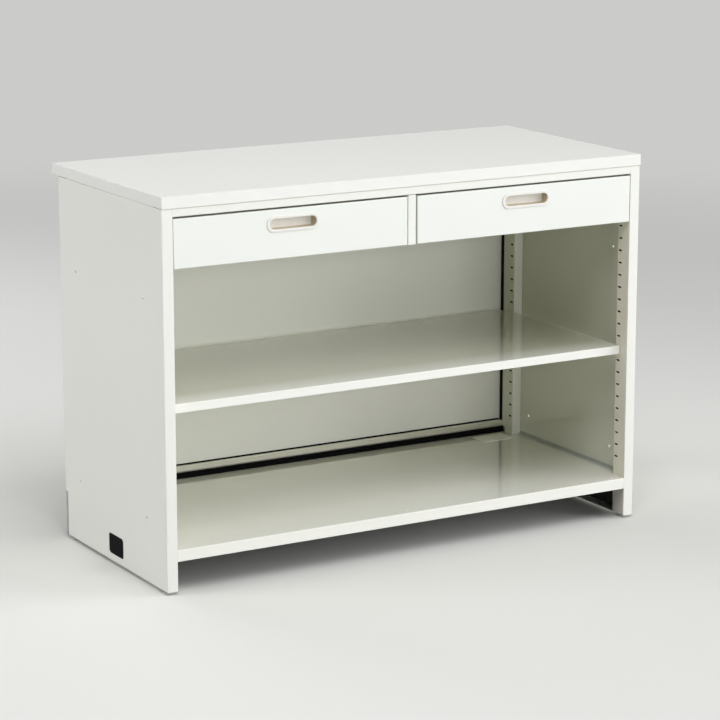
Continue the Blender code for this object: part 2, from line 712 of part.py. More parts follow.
def build_drawer(drawer, x0, wall0, wall1, paint, zinc, nylon, plastic):
    """Drawer on an empty that carries its front, handle, box, runners and rear rollers."""
    middle = x0 + drawer_width / 2
    slide = joint_empty(f"{drawer}_drawer_slide", (middle, front, box_bottom))
    handle_z = drawer_top - HANDLE_DROP
    bm = bmesh.new()
    outline = rectangle(x0, x0 + drawer_width, drawer_bottom, drawer_top)
    tray(bm, outline, front, front + DRAWER_FRONT_DEPTH, fore_aft)
    panel = add_piece(f"{drawer}_drawer_front", bm, paint, parent=slide)
    opening = bmesh.new()
    hole = stadium(middle, handle_z, HANDLE_LENGTH - 2 * (HANDLE_END_LIP - HANDLE_WALL - RUN),
                   HANDLE_HEIGHT - 2 * (HANDLE_SIDE_LIP - HANDLE_WALL - RUN), HANDLE_ARC_STEPS)
    prism(opening, hole, front - THROUGH, front + SHEET + THROUGH, fore_aft)
    shape_with(panel, "DIFFERENCE", opening)
    build_handle(drawer, middle, handle_z, plastic, slide)

    bm = bmesh.new()
    outline = rectangle(wall0 + runner_space, wall1 - runner_space, box_front, box_rear)
    tray(bm, outline, box_bottom, box_bottom + DRAWER_BOX_HEIGHT, upright)
    add_piece(f"{drawer}_drawer_box", bm, paint, parent=slide)
    build_runner(drawer, "left", wall0, RIGHT, slide, zinc, nylon)
    build_runner(drawer, "right", wall1, LEFT, slide, zinc, nylon)


def main():
    for item in list(bpy.data.objects):
        bpy.data.objects.remove(item, do_unlink=True)

    paint = material("white_steel_paint", (0.80, 0.80, 0.75), 0.35)
    kick_paint = material("grey_steel_paint", (0.36, 0.36, 0.34), 0.45)
    laminate = material("white_laminate", (0.80, 0.81, 0.79), 0.40)
    edging = material("white_edge_band", (0.80, 0.81, 0.80), 0.45)
    plastic = material("beige_plastic", (0.66, 0.60, 0.51), 0.45)
    nylon = material("white_nylon", (0.78, 0.77, 0.72), 0.50)
    zinc = material("zinc_plated_steel", (0.62, 0.63, 0.64), 0.35, 1.0)
    foam = material("black_foam", (0.012, 0.012, 0.012), 0.90)

    build_top(laminate, edging, zinc)
    for side, sign in SIDES:
        build_side_panel(side, sign, paint)
        for row in ROWS:
            build_post(side, sign, row, paint)
    build_frame_rails(paint)
    build_bottom_shelf(paint)
    build_mid_shelf(paint, zinc)
    build_customer_side(paint, kick_paint, foam)
    build_feet(nylon, zinc)
    left_edge = -inner + DRAWER_SIDE_GAP
    build_drawer("left", left_edge, -inner, mullion_left, paint, zinc, nylon, plastic)
    right_edge = mullion_right + MULLION_RIGHT_GAP
    build_drawer("right", right_edge, mullion_right, inner, paint, zinc, nylon, plastic)


main()
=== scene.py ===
"""Looks of the steel shop counter with drawers: finishes, fine fittings, studio and camera.

Metres, +Z up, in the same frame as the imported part. The staff side faces -Y.
"""
import json
import math

import bmesh
import bpy
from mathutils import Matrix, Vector

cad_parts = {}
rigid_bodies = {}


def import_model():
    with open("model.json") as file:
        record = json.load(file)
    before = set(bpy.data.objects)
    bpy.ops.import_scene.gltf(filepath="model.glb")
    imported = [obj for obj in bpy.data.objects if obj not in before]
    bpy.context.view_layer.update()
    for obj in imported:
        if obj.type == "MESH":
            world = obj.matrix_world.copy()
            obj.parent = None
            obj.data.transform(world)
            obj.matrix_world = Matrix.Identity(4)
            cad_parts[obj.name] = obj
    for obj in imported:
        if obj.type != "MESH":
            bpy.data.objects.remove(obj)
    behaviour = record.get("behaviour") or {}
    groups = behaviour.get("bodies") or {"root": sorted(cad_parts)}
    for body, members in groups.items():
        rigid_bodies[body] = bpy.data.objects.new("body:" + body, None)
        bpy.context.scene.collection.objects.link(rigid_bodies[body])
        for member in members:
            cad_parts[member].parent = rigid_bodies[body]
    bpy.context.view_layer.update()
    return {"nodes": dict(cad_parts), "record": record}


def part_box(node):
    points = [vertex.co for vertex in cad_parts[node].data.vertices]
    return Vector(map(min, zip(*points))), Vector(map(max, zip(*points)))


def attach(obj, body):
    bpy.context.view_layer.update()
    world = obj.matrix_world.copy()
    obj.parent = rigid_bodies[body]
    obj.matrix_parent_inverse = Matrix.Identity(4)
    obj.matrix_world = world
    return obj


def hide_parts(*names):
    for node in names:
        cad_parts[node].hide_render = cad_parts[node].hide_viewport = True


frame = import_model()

# Camera, fitted to the photograph's 720 by 720 frame
CAMERA_PLACE = (-2.9916, -5.1879, 1.7486)
CAMERA_PITCH = 12.793
CAMERA_YAW = 30.199
CAMERA_LENS = 135.36
SENSOR_WIDTH = 36.0

# Studio: the floor's own colour lights the object, its seen colour is what the camera gets
FLOOR_RADIUS = 60.0
FLOOR_COLOUR = (0.48, 0.48, 0.45)
FLOOR_SEEN = (0.75, 0.75, 0.65)
FAR_LOOK = (0.60, 0.60, 0.59)
FLOOR_FADE = (1.6, 6.0)
WORLD_LIGHT = 0.04
LAMPS = {
    "front_right_softbox": {"place": (4.40, -7.62, 2.32), "size": (5.6, 2.6), "power": 85.0},
    "front_softbox": {"place": (0.0, -9.29, 1.60), "size": (5.8, 3.0), "power": 222.0},
    "right_front_softbox": {"place": (7.44, -5.21, 3.23), "size": (5.4, 3.8), "power": 420.0},
    "right_softbox": {"place": (8.40, -2.25, 2.78), "size": (5.0, 3.6), "power": 182.0},
    "front_high_softbox": {"place": (-0.90, -2.49, 4.09), "size": (2.4, 2.4), "power": 90.0},
    "top_softbox": {"place": (0.0, -0.86, 4.87), "size": (2.4, 2.4), "power": 33.0},
    "left_softbox": {"place": (-7.48, 1.59, 2.79), "size": (4.2, 3.6), "power": 307.0},
    "rear_softbox": {"place": (-0.91, 3.94, 2.42), "size": (2.4, 2.4), "power": 63.0},
}
LAMP_AIM = (0.0, 0.0, 0.45)
LIGHT_TINT = (1.0, 1.0, 1.13)

# Shading of the solids' round bends
WELD_DISTANCE = 0.00002
ROUND_ANGLE = 40
SHARP_ANGLE = 35

# Sheet thickness, and the near-black painted shade inside the posts
SHEET = 0.0012
POST_HOLLOW_SHADE = (0.030, 0.030, 0.028)

# Textures of the finishes: cells per metre, and heights in metres
CLOUD_SCALE = 2.6
CLOUDING = 0.008
SHEEN_SCALE = 9.0
SHEEN_SPREAD = 0.1
PEEL_SCALE = 420.0
PEEL_HEIGHT = 0.000008
SPECKLE_SCALE = 700.0
LAMINATE_SHEEN_SCALE = 5.0
LAMINATE_ROUGHNESS = (0.38, 0.42)
PEARL_SCALE = 900.0
PEARL_HEIGHT = 0.00003
MOTTLE_SCALE = 40.0
GRAIN_SPREAD = 0.05
GRAIN_HEIGHT = 0.00002
SPANGLE_SCALE = 160.0
ZINC_CLOUD_SCALE = 60.0
ZINC_ROUGHNESS = (0.26, 0.40)
MARK_SCALE = 1500.0
MARK_HEIGHT = 0.000006
CELL_SCALE = 1400.0
CELL_HEIGHT = 0.0002
FOAM_ROUGHNESS = (0.80, 0.95)
DULL_SPECULAR = 0.15

# Colours of the other finishes
GREY_PAINT = (0.36, 0.36, 0.33)
LAMINATE_COLOUR = (0.785, 0.794, 0.68)
EDGE_BAND_COLOUR = (0.785, 0.792, 0.68)
NYLON_COLOUR = (0.78, 0.77, 0.69)
ZINC_COLOUR = (0.62, 0.63, 0.62)
BLACK = (0.004, 0.004, 0.004)
JOINT_BEAD_GREY = (0.42, 0.45, 0.39)
COVER_COLOUR = (0.88, 0.88, 0.75)
FOOT_COLOUR = (0.50, 0.49, 0.43)
# Lit and shaded copies of the white enamel: each part's white is made lighter or darker to paint the
# light it gets, and the rail's white is a painted highlight
RAIL_HIGHLIGHT_WHITE = (0.92, 0.91, 0.78)
RAIL_METALLIC = 0.75
FASCIA_WHITE_AS_LIT = (0.84, 0.855, 0.72)
FASCIA_GLOSS = 0.14
DRAWER_FRONT_WHITE_AS_LIT = (0.780, 0.802, 0.685)
FRONT_POST_WHITE_AS_LIT = (0.89, 0.855, 0.69)
REAR_POST_WHITE_AS_LIT = (0.85, 0.865, 0.72)
MID_SHELF_WHITE_AS_LIT = (0.83, 0.835, 0.71)
BOTTOM_SHELF_WHITE_AS_LIT = (0.83, 0.832, 0.70)

# White enamel; painted shade in a darker, yellower white on shelves, inner skins and rear webs, with its
# own shares for the mid shelf and rear posts and a lit line at the mid shelf's ends; near-black painted
# shade below the bottom shelf
WHITE = (0.79, 0.80, 0.675)
WHITE_GLOSS = 0.11
SHELF_LACQUER = 0.8
LACQUER_ROUGHNESS = 0.03
INNER_SHADE = (0.80, 0.795, 0.725)
MID_SHELF_SHADE = (0.675, 0.662, 0.580)
REAR_POST_SHADE = (0.74, 0.73, 0.655)
LIT_SHELF_END = 0.0055
INNER_SHADE_HEIGHTS = (0.05, 0.42)
INNER_SHADE_FADE = 0.080
UNDER_SHELF_SHADE_COLOUR = (0.060, 0.060, 0.055)

# Cup handles
MOUTH_LENGTH = 0.112
MOUTH_HEIGHT = 0.0225
LIP_PROUD = 0.0014
LIP_EDGE = 0.0006
MOUTH_EDGE = 0.0009
CUP_WALL = 0.0015
CUP_END_SLOPE = 0.0055
CUP_SIDE_SLOPE = 0.0015
CUP_CORNER = 0.0035
CUP_FILLET = 0.0015
CUP_STEPS = 6
FILLET_STEPS = 5
ROUND_SHARE = 0.998
CORNER_STEPS = 12
LIP_COLOUR = (0.755, 0.755, 0.640)
CUP_FLOOR_COLOUR = (0.74, 0.72, 0.605)
# Painted shade on the cup's walls
CUP_WALL_SHADE = (0.48, 0.40, 0.25)

# Levelling feet
FOOT_FLUTES = 20
FLUTE_STEPS = 6
FLUTE_DEPTH = 0.0006
FOOT_EDGE = 0.0010
PAD_SHARE = 0.6
CONE_SHARE = 0.62
STUD_SHARE = 0.3

# Rollers of the drawer runners
ROLLER_SIDES = 48
ROLLER_EDGE = 0.0010
ROLLER_HUB = 0.0095
ROLLER_DISH = 0.0008
AXLE_CLEAR = 0.0048

# Grey concave beads in the joints of the bottom shelf and the side panels
BEAD_SIZE = 0.007
BEAD_STEPS = 6

# Strips along the foot of the fascia: a black lip on the bottom seal, also painting the shade of the
# gap; a cap on the rail, bright as a painted highlight; a black bead above it, a painted shadow line
SHADE_LIP_HEIGHT = 0.0034
RAIL_CAP_HEIGHT = 0.0040
SHADOW_BEAD_HEIGHT = 0.0045
SHADOW_BEAD_DEPTH = 0.0012
STRIP_EDGE = 0.0005

# Cover plate of the wiring hole in the bottom shelf
COVER_LOW = (0.472, 0.164)
COVER_HIGH = (0.556, 0.220)
COVER_THICKNESS = 0.0012
COVER_CORNER = 0.004
COVER_EDGE = 0.0004

# Split flap behind the cable hole
FLAP_STRIPS = 5
FLAP_GAP = 0.0006
FLAP_THICKNESS = 0.0015
FLAP_ROUND = 0.0004
FLAP_MARGIN = 0.0015

# Cross-head screws
SCREW_SIDES = 48
SCREW_HEAD = 0.0060
SCREW_RISE = 0.0009
SCREW_CROWN = 0.72
SCREW_CROSS = 0.0034
SCREW_CROSS_WIDTH = 0.0008
SCREW_CROSS_DEPTH = 0.0006
SHELF_SCREWS = (-0.557, -0.127, 0.001, 0.554)
SHELF_SCREW_SETBACK = 0.020
BOX_SCREW_INSET = 0.080
SEAT_GAP = 0.00005


# Material helpers

def new_material(name):
    material = bpy.data.materials.new(name)
    material.use_nodes = True
    return material, material.node_tree, material.node_tree.nodes["Principled BSDF"]


def add_node(tree, kind, inputs=None, **settings):
    node = tree.nodes.new(kind)
    for key, value in settings.items():
        setattr(node, key, value)
    for key, value in (inputs or {}).items():
        node.inputs[key].default_value = value
    return node


def object_coordinates(tree):
    return add_node(tree, "ShaderNodeTexCoord").outputs["Object"]


def split(tree, vector):
    node = add_node(tree, "ShaderNodeSeparateXYZ")
    tree.links.new(vector, node.inputs[0])
    return node.outputs


def maths(tree, operation, first, second=None):
    """Result of a maths node on sockets or plain numbers."""
    node = add_node(tree, "ShaderNodeMath", operation=operation)
    for socket, value in zip(node.inputs, (first, second)):
        if isinstance(value, bpy.types.NodeSocket):
            tree.links.new(value, socket)
        elif value is not None:
            socket.default_value = value
    return node.outputs["Value"]


def within(tree, value, low, high):
    """One where low < value < high, else nought."""
    return maths(tree, "MULTIPLY", maths(tree, "GREATER_THAN", value, low),
                 maths(tree, "LESS_THAN", value, high))


def noise(tree, coordinates, scale, detail=2.0, roughness=0.5):
    node = add_node(tree, "ShaderNodeTexNoise",
                    {"Scale": scale, "Detail": detail, "Roughness": roughness})
    tree.links.new(coordinates, node.inputs["Vector"])
    return node.outputs[0]


def colour_between(tree, factor, low, high, start=0.3, end=0.7):
    ramp = add_node(tree, "ShaderNodeValToRGB")
    ramp.color_ramp.elements[0].position = start
    ramp.color_ramp.elements[0].color = (*low, 1.0)
    ramp.color_ramp.elements[1].position = end
    ramp.color_ramp.elements[1].color = (*high, 1.0)
    tree.links.new(factor, ramp.inputs["Fac"])
    return ramp.outputs["Color"]


def mixed_colour(tree, factor, first, second):
    """Colour socket that goes from the first to the second, each a socket or a plain colour."""
    node = add_node(tree, "ShaderNodeMix", data_type="RGBA")
    tree.links.new(factor, node.inputs["Factor"])
    for socket, colour in ((node.inputs[6], first), (node.inputs[7], second)):
        if isinstance(colour, bpy.types.NodeSocket):
            tree.links.new(colour, socket)
        else:
            socket.default_value = (*colour, 1.0)
    return node.outputs[2]


def value_between(tree, factor, low, high, start=0.3, end=0.7):
    node = add_node(tree, "ShaderNodeMapRange",
                    {"From Min": start, "From Max": end, "To Min": low, "To Max": high})
    tree.links.new(factor, node.inputs["Value"])
    return node.outputs["Result"]


def bump(tree, shader, height, depth):
    node = add_node(tree, "ShaderNodeBump", {"Distance": depth})
    tree.links.new(height, node.inputs["Height"])
    tree.links.new(node.outputs["Normal"], shader.inputs["Normal"])


def tinted(colour, share):
    return tuple(channel * share for channel in colour)


# Finishes

def inside_posts(tree, place):
    """One inside the channel posts, whose hollows are painted near-black as shade."""
    axes = split(tree, place)
    low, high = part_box("right_front_post")
    across = within(tree, maths(tree, "ABSOLUTE", axes["X"]), low.x + SHEET / 2, high.x + SHEET / 2)
    rows = []
    for node in ("right_front_post", "right_rear_post"):
        low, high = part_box(node)
        rows.append(within(tree, axes["Y"], low.y + SHEET / 2, high.y - SHEET / 2))
    return maths(tree, "MULTIPLY", across, maths(tree, "ADD", *rows))


def inside_carcass(tree, place):
    """Masks of painted shade: on shelves, inner skins and rear webs, growing inward from the front edge
    and upward, the mid shelf's ends left out as a painted highlight; and of all below the bottom shelf's
    top sheet.
    """
    axes = split(tree, place)
    width = maths(tree, "ABSOLUTE", axes["X"])
    front_post, rear_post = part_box("right_front_post"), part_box("right_rear_post")
    shelf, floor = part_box("mid_shelf"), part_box("bottom_shelf")
    between = within(tree, axes["Y"], front_post[1].y + SHEET / 2, rear_post[0].y - SHEET / 2)
    beside = within(tree, width, front_post[0].x - SHEET / 2, front_post[1].x - SHEET / 10)
    on_posts = maths(tree, "MULTIPLY", beside, maths(tree, "SUBTRACT", 1.0, between))
    # Painted highlight: the mid shelf's ends keep the lighter white
    at_end = within(tree, width, shelf[1].x - LIT_SHELF_END, shelf[1].x + SHEET / 10)
    at_height = within(tree, axes["Z"], shelf[0].z, shelf[1].z + SHEET / 10)
    lit_shelf_ends = maths(tree, "MULTIPLY", at_end, at_height)
    left_unshaded = maths(tree, "MAXIMUM", on_posts, lit_shelf_ends)
    inner = maths(tree, "MULTIPLY", maths(tree, "SUBTRACT", 1.0, left_unshaded),
                  maths(tree, "LESS_THAN", width, front_post[1].x + SHEET / 2))
    inner = maths(tree, "MULTIPLY", inner, maths(tree, "LESS_THAN", axes["Y"], floor[1].y + SHEET / 10))
    back = value_between(tree, axes["Y"], 0.0, 1.0,
                         shelf[0].y + SHEET / 10, shelf[0].y + INNER_SHADE_FADE)
    top_sheet, drawer = floor[1].z - 0.9 * SHEET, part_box("left_drawer_front")[0].z
    above = maths(tree, "MULTIPLY", within(tree, axes["Z"], top_sheet, drawer),
                  value_between(tree, axes["Z"], 0.0, 1.0, *INNER_SHADE_HEIGHTS))
    on_web = within(tree, width, front_post[0].x - SHEET / 2, front_post[0].x + SHEET / 2)
    web = maths(tree, "MULTIPLY", on_web,
                maths(tree, "GREATER_THAN", axes["Y"], rear_post[0].y + SHEET / 2))
    below = maths(tree, "MULTIPLY", within(tree, axes["Z"], front_post[0].z + SHEET / 2, top_sheet),
                  maths(tree, "GREATER_THAN", axes["Y"], floor[0].y + 0.9 * SHEET))
    inner_faces = maths(tree, "MULTIPLY", inner, back)
    return (maths(tree, "MULTIPLY", maths(tree, "MAXIMUM", inner_faces, web), above),
            maths(tree, "MULTIPLY", inner, below))


def paint(name, colour, gloss, inner=INNER_SHADE, lacquer=0.0):
    """Baked enamel, clouded and with a fine orange peel; painted shade in a darker, yellower white
    inside the carcass, near-black below the bottom shelf and inside the posts.
    """
    material, tree, shader = new_material(name)
    place = object_coordinates(tree)
    clouds = noise(tree, place, CLOUD_SCALE, 3.0)
    coat = colour_between(tree, clouds, tinted(colour, 1 - CLOUDING), tinted(colour, 1 + CLOUDING))
    # Painted shade: a darker, yellower white inside the compartments
    compartment_shade, under_shelf_shade = inside_carcass(tree, place)
    inner_shade_colour = tuple(channel * share for channel, share in zip(colour, inner))
    coat = mixed_colour(tree, compartment_shade, coat, inner_shade_colour)
    # Painted shade: near-black below the bottom shelf
    coat = mixed_colour(tree, under_shelf_shade, coat, UNDER_SHELF_SHADE_COLOUR)
    # Painted shade: near-black inside the posts' hollows
    tree.links.new(mixed_colour(tree, inside_posts(tree, place), coat, POST_HOLLOW_SHADE),
                   shader.inputs["Base Color"])
    sheen = noise(tree, place, SHEEN_SCALE, 1.0)
    rough = value_between(tree, sheen, (1 - SHEEN_SPREAD) * gloss, (1 + SHEEN_SPREAD) * gloss)
    tree.links.new(rough, shader.inputs["Roughness"])
    bump(tree, shader, noise(tree, place, PEEL_SCALE, 1.5), PEEL_HEIGHT)
    shader.inputs["Coat Weight"].default_value = lacquer
    shader.inputs["Coat Roughness"].default_value = LACQUER_ROUGHNESS
    return material


def laminate(name, colour):
    """Melamine face: a fine pearl texture with a faint speckle."""
    material, tree, shader = new_material(name)
    place = object_coordinates(tree)
    speckle = noise(tree, place, SPECKLE_SCALE, 3.0, 0.7)
    tree.links.new(colour_between(tree, speckle, tinted(colour, 0.99), tinted(colour, 1.005)),
                   shader.inputs["Base Color"])
    sheen = noise(tree, place, LAMINATE_SHEEN_SCALE, 5.0)
    tree.links.new(value_between(tree, sheen, *LAMINATE_ROUGHNESS), shader.inputs["Roughness"])
    bump(tree, shader, noise(tree, place, PEARL_SCALE, 2.0), PEARL_HEIGHT)
    return material


def moulded_plastic(name, colour, gloss, grain, mottling=0.03):
    """Moulded plastic: a soft mottle and a fine spark-eroded grain."""
    material, tree, shader = new_material(name)
    place = object_coordinates(tree)
    mottle = noise(tree, place, MOTTLE_SCALE, 3.0)
    dark, light = tinted(colour, 1 - mottling), tinted(colour, 1 + mottling)
    tree.links.new(colour_between(tree, mottle, dark, light), shader.inputs["Base Color"])
    grain_noise = noise(tree, place, grain, 2.0, 0.6)
    rough = value_between(tree, grain_noise, gloss - GRAIN_SPREAD, gloss + GRAIN_SPREAD)
    tree.links.new(rough, shader.inputs["Roughness"])
    bump(tree, shader, grain_noise, GRAIN_HEIGHT)
    return material


def handle_plastic(name, gloss, grain):
    """Moulded cup: a pale lip, a beige floor, and walls painted dark tan as the shade in the recess."""
    material = moulded_plastic(name, CUP_FLOOR_COLOUR, gloss, grain)
    tree = material.node_tree
    shader = tree.nodes["Principled BSDF"]
    depth = split(tree, object_coordinates(tree))["Y"]
    low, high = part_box("left_drawer_handle")
    beige = shader.inputs["Base Color"].links[0].from_socket
    wall_start = value_between(tree, depth, 0.0, 1.0, low.y + LIP_PROUD, low.y + 2 * LIP_PROUD)
    floor = high.y - CUP_WALL
    wall_end = value_between(tree, depth, 0.0, 1.0, floor - CUP_FILLET, floor - 0.2 * CUP_FILLET)
    # Painted shade: darker tan walls between the lip and the cup's floor
    inside = mixed_colour(tree, wall_end, CUP_WALL_SHADE, beige)
    tree.links.new(mixed_colour(tree, wall_start, LIP_COLOUR, inside), shader.inputs["Base Color"])
    return material


def zinc_plate(name, colour):
    """Zinc-plated steel: a cloudy spangle and fine drawing marks."""
    material, tree, shader = new_material(name)
    place = object_coordinates(tree)
    spangle = add_node(tree, "ShaderNodeTexVoronoi", {"Scale": SPANGLE_SCALE})
    tree.links.new(place, spangle.inputs["Vector"])
    clouds = noise(tree, place, ZINC_CLOUD_SCALE, 4.0)
    tree.links.new(colour_between(tree, clouds, tinted(colour, 0.85), tinted(colour, 1.08)),
                   shader.inputs["Base Color"])
    tree.links.new(value_between(tree, spangle.outputs["Distance"], *ZINC_ROUGHNESS, 0.0, 0.8),
                   shader.inputs["Roughness"])
    shader.inputs["Metallic"].default_value = 1.0
    bump(tree, shader, noise(tree, place, MARK_SCALE, 2.0), MARK_HEIGHT)
    return material


def foam(name, colour):
    """Closed-cell foam strip: small round cells, dull."""
    material, tree, shader = new_material(name)
    place = object_coordinates(tree)
    cells = add_node(tree, "ShaderNodeTexVoronoi", {"Scale": CELL_SCALE})
    tree.links.new(place, cells.inputs["Vector"])
    depth = cells.outputs["Distance"]
    tree.links.new(colour_between(tree, depth, tinted(colour, 0.6), tinted(colour, 1.6), 0.0, 0.8),
                   shader.inputs["Base Color"])
    tree.links.new(value_between(tree, depth, *FOAM_ROUGHNESS, 0.0, 0.8), shader.inputs["Roughness"])
    shader.inputs["Specular IOR Level"].default_value = DULL_SPECULAR
    bump(tree, shader, depth, CELL_HEIGHT)
    return material


FINISHES = {
    "white_paint": paint("white_paint_finish", WHITE, WHITE_GLOSS),
    "grey_paint": paint("grey_paint_finish", GREY_PAINT, 0.32),
    "laminate": laminate("laminate_finish", LAMINATE_COLOUR),
    "edge_band": moulded_plastic("edge_band_finish", EDGE_BAND_COLOUR, 0.42, 600.0, 0.006),
    "beige_plastic": handle_plastic("beige_plastic_finish", 0.40, 900.0),
    "nylon": moulded_plastic("nylon_finish", NYLON_COLOUR, 0.45, 500.0),
    "zinc": zinc_plate("zinc_finish", ZINC_COLOUR),
    # Black foam of the seal strips round the fascia, which also paints the shade in the gaps there
    "foam": foam("foam_finish", BLACK),
}
# Near-black rubber for the cable hole's flap, which also paints the shade inside the hole
RUBBER = moulded_plastic("rubber_finish", BLACK, 0.60, 300.0)
RUBBER.node_tree.nodes["Principled BSDF"].inputs["Specular IOR Level"].default_value = 0.05
JOINT_BEAD_PLASTIC = moulded_plastic("sealant_finish", JOINT_BEAD_GREY, 0.45, 400.0)
COVER = moulded_plastic("cover_plate_finish", COVER_COLOUR, 0.75, 300.0)
COVER.node_tree.nodes["Principled BSDF"].inputs["Specular IOR Level"].default_value = DULL_SPECULAR
# Copies of the white paint per part, lit and shaded: painted light in their colours
RAIL = paint("fascia_rail_painted_highlight", RAIL_HIGHLIGHT_WHITE, 0.36)
RAIL.node_tree.nodes["Principled BSDF"].inputs["Metallic"].default_value = RAIL_METALLIC
DRAWER_FRONT = paint("drawer_front_finish", DRAWER_FRONT_WHITE_AS_LIT, WHITE_GLOSS)
FRONT_POST = paint("front_post_paint_as_lit", FRONT_POST_WHITE_AS_LIT, WHITE_GLOSS)
REAR_POST = paint("rear_post_paint_as_lit", REAR_POST_WHITE_AS_LIT, WHITE_GLOSS, REAR_POST_SHADE)
NODE_PAINTS_AS_LIT = {
    "mid_shelf": paint("mid_shelf_paint_as_lit", MID_SHELF_WHITE_AS_LIT, WHITE_GLOSS, MID_SHELF_SHADE, SHELF_LACQUER),
    "bottom_shelf": paint("bottom_shelf_paint_as_lit", BOTTOM_SHELF_WHITE_AS_LIT, WHITE_GLOSS,
                          lacquer=SHELF_LACQUER),
    "left_drawer_front": DRAWER_FRONT,
    "right_drawer_front": DRAWER_FRONT,
    "left_front_post": FRONT_POST,
    "right_front_post": FRONT_POST,
    "left_rear_post": REAR_POST,
    "right_rear_post": REAR_POST,
    "rear_fascia": paint("fascia_paint_as_lit", FASCIA_WHITE_AS_LIT, FASCIA_GLOSS),
    "fascia_bottom_rail": RAIL,
}
FOOT_FINISH = moulded_plastic("foot_finish", FOOT_COLOUR, 0.50, 500.0)


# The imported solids: smooth round bends, flat faces kept flat

def round_bend_group():
    """Node group that welds a solid's facets and smooths the shallow edges between them."""
    group = bpy.data.node_groups.new("round_bends", "GeometryNodeTree")
    group.interface.new_socket("Geometry", in_out="INPUT", socket_type="NodeSocketGeometry")
    group.interface.new_socket("Geometry", in_out="OUTPUT", socket_type="NodeSocketGeometry")
    first = group.nodes.new("NodeGroupInput")
    last = group.nodes.new("NodeGroupOutput")
    bare = add_node(group, "GeometryNodeRemoveAttribute", {"Name": "custom_normal"})
    weld = add_node(group, "GeometryNodeMergeByDistance", {"Distance": WELD_DISTANCE})
    faces = add_node(group, "GeometryNodeSetShadeSmooth", {"Shade Smooth": True}, domain="FACE")
    edges = add_node(group, "GeometryNodeSetShadeSmooth", domain="EDGE")
    angle = add_node(group, "GeometryNodeInputMeshEdgeAngle")
    shallow = add_node(group, "FunctionNodeCompare", {"B": math.radians(ROUND_ANGLE)},
                       data_type="FLOAT", operation="LESS_THAN")
    group.links.new(angle.outputs["Unsigned Angle"], shallow.inputs["A"])
    group.links.new(shallow.outputs["Result"], edges.inputs["Shade Smooth"])
    chain = [first, bare, weld, faces, edges, last]
    for before, after in zip(chain, chain[1:]):
        group.links.new(before.outputs["Geometry"], after.inputs["Geometry"])
    return group


def finish_nodes():
    """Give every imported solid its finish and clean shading."""
    group = round_bend_group()
    for name, node in frame["nodes"].items():
        slot = node.material_slots[0].material.name.split(".")[0]
        node.material_slots[0].material = NODE_PAINTS_AS_LIT.get(name, FINISHES[slot])
        smoothing = node.modifiers.new("round_bends", "NODES")
        smoothing.node_group = group
        normals = node.modifiers.new("flat_faces", "WEIGHTED_NORMAL")
        normals.keep_sharp = True


# Pieces made as meshes

def add_mesh_piece(name, bm, slot, body, stands_for=(), finish=None):
    """Named piece with its finish, on its body, in place of the solids it stands for."""
    bmesh.ops.recalc_face_normals(bm, faces=bm.faces)
    mesh = bpy.data.meshes.new(name)
    bm.to_mesh(mesh)
    bm.free()
    mesh.materials.append(finish or FINISHES[slot])
    mesh.shade_smooth()
    mesh.set_sharp_from_angle(angle=math.radians(SHARP_ANGLE))
    piece = bpy.data.objects.new(name, mesh)
    bpy.context.scene.collection.objects.link(piece)
    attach(piece, body)
    if stands_for:
        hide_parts(*stands_for)
    return piece


def loft(bm, loops, ring=False):
    """Skin from loop to loop, with both ends capped or, for a ring, joined."""
    rings = [[bm.verts.new(point) for point in points] for points in loops]
    pairs = list(zip(rings, rings[1:]))
    if ring:
        pairs.append((rings[-1], rings[0]))
    else:
        bm.faces.new(rings[0])
        bm.faces.new(rings[-1])
    for low, high in pairs:
        for i in range(len(low)):
            bm.faces.new((low[i - 1], low[i], high[i], high[i - 1]))


def quarter(steps=FILLET_STEPS):
    """Sine and cosine along a quarter turn, for fillets."""
    turns = [math.pi / 2 * step / steps for step in range(steps + 1)]
    return [(math.sin(turn), math.cos(turn)) for turn in turns]


def rounded(x, z, length, height, radius, y):
    """Rectangle in X and Z at depth y with an arc at each corner."""
    points = []
    for corner, (side_x, side_z) in enumerate(((1, 1), (-1, 1), (-1, -1), (1, -1))):
        centre_x = x + side_x * (length / 2 - radius)
        centre_z = z + side_z * (height / 2 - radius)
        for step in range(CORNER_STEPS + 1):
            turn = math.pi / 2 * (corner + step / CORNER_STEPS)
            points.append((centre_x + radius * math.cos(turn), y, centre_z + radius * math.sin(turn)))
    return points


